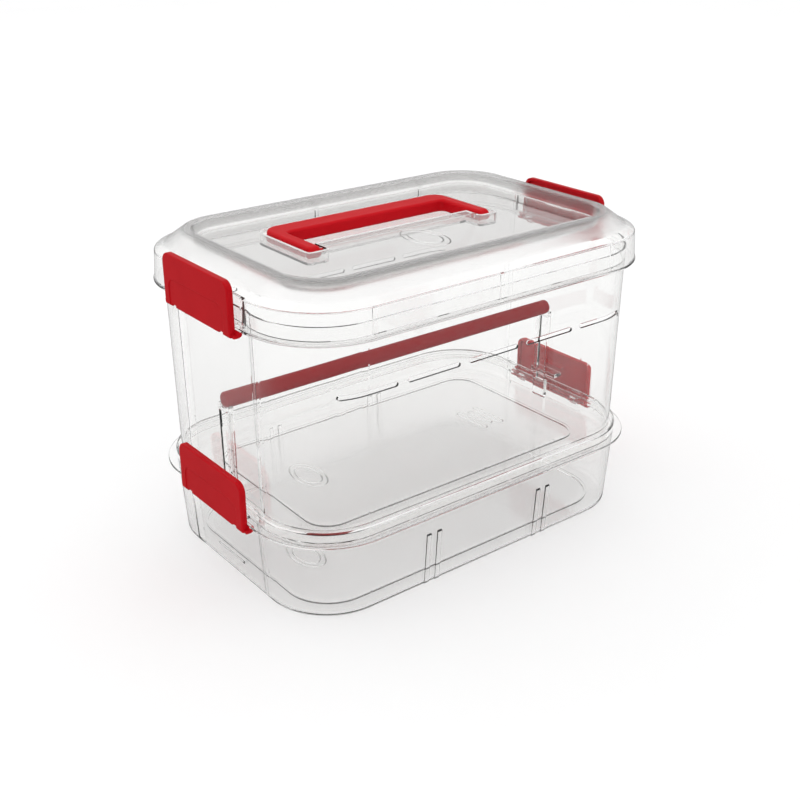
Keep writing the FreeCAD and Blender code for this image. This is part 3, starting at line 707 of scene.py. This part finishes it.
class ARTBOX_OT_clear_shells(bpy.types.Operator):
    """Give the tray, bin and lid their clear moulded plastic, with painted shade on the lid's crest and
    plate
    """

    bl_idname = "artbox.clear_shells"
    bl_label = "Clear Shells"

    def execute(self, context):
        props = context.scene.art_box_clear
        tray_floor = inset_patch(TRAY_BOX, TRAY_FOOT, TRAY_FLOOR_PATCH)
        bin_floor = inset_patch(BIN_BOX, BIN_FOOT, BIN_FLOOR_PATCH)
        lid_slope = inset_patch(LID_BOX, LID_TOP, LID_SLOPE_PATCH)
        lid_crest = inset_patch(LID_BOX, LID_TOP, LID_CREST_PATCH)
        lid_plate = inset_patch(LID_BOX, LID_TOP, LID_PLATE_PATCH)
        # The floors and lid slope get real frost; the crest and plate colours are painted shade.
        finishes_and_painted_light = {
            "base_tray": [(tray_floor, props.frost_tint, TRAY_FLOOR_ROUGHNESS)],
            "upper_bin": [(bin_floor, props.frost_tint, BIN_FLOOR_ROUGHNESS)],
            "lid": [
                (lid_slope, props.frost_tint, props.frost_roughness),
                (lid_crest, props.crest_frost_and_painted_shade, props.frost_roughness),
                (lid_plate, props.plate_painted_shade, PLATE_ROUGHNESS),
            ],
        }
        for node, patches in finishes_and_painted_light.items():
            dress(node, clear_material(f"Clear {node.replace('_', ' ')}", patches))
        return {"FINISHED"}


class ARTBOX_OT_red_fittings(bpy.types.Operator):
    """Give the clips, carry handle and ribbon dowel their red plastic, with painted edge highlights and
    painted light and shade for each part
    """

    bl_idname = "artbox.red_fittings"
    bl_label = "Red Fittings"

    def execute(self, context):
        # The factor after stretch is painted light and shade: the handle is painted lighter, and the
        # dowel, which lies in shade inside the bin, darker.
        finishes_and_painted_light = {
            "clip": red_material("Red clip", 30.0, stretch=1.0, light_shade_factor=1.0, roughness_shift=0.0),
            "handle": red_material("Red handle", 22.0, stretch=3.0, light_shade_factor=1.15, roughness_shift=0.06),
            "dowel": red_material("Red dowel", 60.0, stretch=14.0, light_shade_factor=0.62, roughness_shift=0.04),
        }
        for kind, material in finishes_and_painted_light.items():
            for node in RED_NODES[kind]:
                dress(node, material)
        return {"FINISHED"}


class ARTBOX_OT_moulded_marks(bpy.types.Operator):
    """Add the plain raised ovals and bars on the lid plate and the two floors"""

    bl_idname = "artbox.moulded_marks"
    bl_label = "Moulded Marks"

    def execute(self, context):
        props = context.scene.art_box_marks
        material = clear_material("Clear moulded mark", [])
        plate_level = LID_TOP - PLATE_DROP + SEATING
        bin_level = BIN_FOOT + FLOOR_RISE + SEATING
        tray_level = TRAY_FOOT + FLOOR_RISE + SEATING
        spots = (
            ("lid_mark", "lid_body", LID_MARK_CENTRE, props.lid_mark, plate_level),
            ("bin_mark", "bin", BIN_MARK_CENTRE, props.floor_mark, bin_level),
            ("tray_mark", "tray", TRAY_MARK_CENTRE, props.floor_mark, tray_level),
        )
        for name, body, centre, size, level in spots:
            mesh = bmesh.new()
            for share in OVAL_SHARES:
                path = oval_path(centre, size[0] * share, size[1] * share)
                add_bead(mesh, path, props.bead_width, props.bead_height, level)
            finish_mesh(name, mesh, material, body)
        mesh = bmesh.new()
        for shift, half in BARS:
            path = pill_path((BARS_CENTRE[0] + shift, BARS_CENTRE[1]), half, BAR_RADIUS)
            add_bead(mesh, path, props.bead_width, props.bead_height, bin_level)
        finish_mesh("bin_bars", mesh, material, "bin")
        return {"FINISHED"}


class ARTBOX_OT_stage(bpy.types.Operator):
    """Set up the pale floor, the soft light and the camera"""

    bl_idname = "artbox.stage"
    bl_label = "Stage"

    def execute(self, context):
        props = context.scene.art_box_stage
        scene = context.scene
        self.add_floor(scene, props)
        self.add_sky(scene, props)
        self.add_lamp(scene, props)
        self.add_camera(scene, props)
        scene.view_settings.view_transform = "Standard"
        scene.cycles.max_bounces = 24
        scene.cycles.transmission_bounces = 24
        scene.cycles.glossy_bounces = 20
        scene.cycles.transparent_max_bounces = 40
        return {"FINISHED"}

    def add_floor(self, scene, props):
        """Adds a wide round floor that turns up into a backdrop, with faint mottling."""
        mesh = bmesh.new()
        profile = [(props.floor_radius, 0.0)]
        for step in range(1, SWEEP_STEPS + 1):
            turn = 0.5 * math.pi * step / SWEEP_STEPS
            reach = props.floor_radius + props.sweep_radius * math.sin(turn)
            profile.append((reach, props.sweep_radius * (1.0 - math.cos(turn))))
        rings = []
        turns = [2.0 * math.pi * index / FLOOR_SEGMENTS for index in range(FLOOR_SEGMENTS)]
        for reach, rise in profile:
            rings.append(
                [
                    mesh.verts.new((reach * math.cos(t), reach * math.sin(t), rise))
                    for t in turns
                ]
            )
        mesh.faces.new(rings[0])
        for lower, upper in zip(rings, rings[1:]):
            for index in range(FLOOR_SEGMENTS):
                after = (index + 1) % FLOOR_SEGMENTS
                side = mesh.faces.new(
                    (lower[index], upper[index], upper[after], lower[after])
                )
                side.smooth = True
        data = bpy.data.meshes.new("Floor")
        mesh.to_mesh(data)
        mesh.free()
        floor = bpy.data.objects.new("Floor", data)
        floor.location.z = cad_low.z - FLOOR_DROP
        scene.collection.objects.link(floor)
        material, tree, output = new_material("Pale floor")
        flow = use_group(tree, mould_flow_group(), Streak_scale=3.0, Speckle_scale=300.0)
        dimmer = tuple(0.99 * channel for channel in props.floor_colour)
        colour = mix_colours(tree, flow.outputs["Streaks"], props.floor_colour, dimmer)
        surface = add_node(tree, "ShaderNodeBsdfPrincipled", Roughness=0.9, IOR=1.3)
        tree.links.new(colour, surface.inputs["Base Color"])
        tree.links.new(surface.outputs[0], output.inputs["Surface"])
        data.materials.append(material)
        floor.visible_glossy = False

    def add_sky(self, scene, props):
        """Adds even light that dims towards the horizon."""
        world = bpy.data.worlds.new("Studio")
        scene.world = world
        world.use_nodes = True
        tree = world.node_tree
        tree.nodes.clear()
        place = tree.nodes.new("ShaderNodeTexCoord")
        split = tree.nodes.new("ShaderNodeSeparateXYZ")
        tree.links.new(place.outputs["Generated"], split.inputs[0])
        ramp = tree.nodes.new("ShaderNodeValToRGB")
        ramp.color_ramp.elements[0].color = (SKY_LOWEST, SKY_LOWEST, SKY_LOWEST, 1.0)
        ramp.color_ramp.elements[1].color = (SKY_HIGHEST, SKY_HIGHEST, SKY_HIGHEST, 1.0)
        for position, grey in SKY_BETWEEN:
            element = ramp.color_ramp.elements.new(position)
            element.color = (grey, grey, grey, 1.0)
        tree.links.new(split.outputs["Z"], ramp.inputs["Fac"])
        background = tree.nodes.new("ShaderNodeBackground")
        background.inputs["Strength"].default_value = props.sky_strength
        tree.links.new(ramp.outputs["Color"], background.inputs["Color"])
        output = tree.nodes.new("ShaderNodeOutputWorld")
        tree.links.new(background.outputs[0], output.inputs["Surface"])

    def add_lamp(self, scene, props):
        """Adds one large soft lamp above and behind the box."""
        data = bpy.data.lights.new("Soft lamp", "AREA")
        data.shape = "DISK"
        data.size = LAMP_WIDTH
        data.energy = props.lamp_power
        lamp = bpy.data.objects.new("Soft lamp", data)
        lamp.location = LAMP_PLACE
        aim = Vector(LAMP_TARGET) - lamp.location
        lamp.rotation_euler = aim.to_track_quat("-Z", "Y").to_euler()
        scene.collection.objects.link(lamp)

    def add_camera(self, scene, props):
        """Adds the camera, level and without shift or depth of field."""
        data = bpy.data.cameras.new("Camera")
        data.sensor_width = 36.0
        data.lens = props.focal_length
        data.clip_start = 0.01
        data.clip_end = 100.0
        camera = bpy.data.objects.new("Camera", data)
        camera.location = props.camera_place
        aim = Vector(props.camera_target) - Vector(props.camera_place)
        camera.rotation_euler = aim.to_track_quat("-Z", "Y").to_euler()
        scene.collection.objects.link(camera)
        bpy.context.scene.camera = camera


class ARTBOX_PT_panel(bpy.types.Panel):
    """Sizes, colours and steps of the art supply box"""

    bl_idname = "ARTBOX_PT_panel"
    bl_label = "Art Supply Box"
    bl_space_type = "VIEW_3D"
    bl_region_type = "UI"
    bl_category = "Art Box"

    def draw(self, context):
        layout = self.layout
        for step, holder in STEPS:
            box = layout.box()
            box.operator(step.bl_idname)
            group = getattr(context.scene, holder)
            for name in group.__annotations__:
                box.prop(group, name)


GROUPS = (
    ("art_box_clear", ArtBoxClearProps),
    ("art_box_red", ArtBoxRedProps),
    ("art_box_marks", ArtBoxMarkProps),
    ("art_box_stage", ArtBoxStageProps),
)
STEPS = (
    (ARTBOX_OT_clear_shells, "art_box_clear"),
    (ARTBOX_OT_red_fittings, "art_box_red"),
    (ARTBOX_OT_moulded_marks, "art_box_marks"),
    (ARTBOX_OT_stage, "art_box_stage"),
)


def register():
    for name, group in GROUPS:
        bpy.utils.register_class(group)
        setattr(bpy.types.Scene, name, PointerProperty(type=group))
    for step, _ in STEPS:
        bpy.utils.register_class(step)
    bpy.utils.register_class(ARTBOX_PT_panel)


def unregister():
    bpy.utils.unregister_class(ARTBOX_PT_panel)
    for step, _ in reversed(STEPS):
        bpy.utils.unregister_class(step)
    for name, group in reversed(GROUPS):
        delattr(bpy.types.Scene, name)
        bpy.utils.unregister_class(group)


def main():
    register()
    bpy.ops.artbox.clear_shells()
    bpy.ops.artbox.red_fittings()
    bpy.ops.artbox.moulded_marks()
    bpy.ops.artbox.stage()


if __name__ == "__main__":
    main()
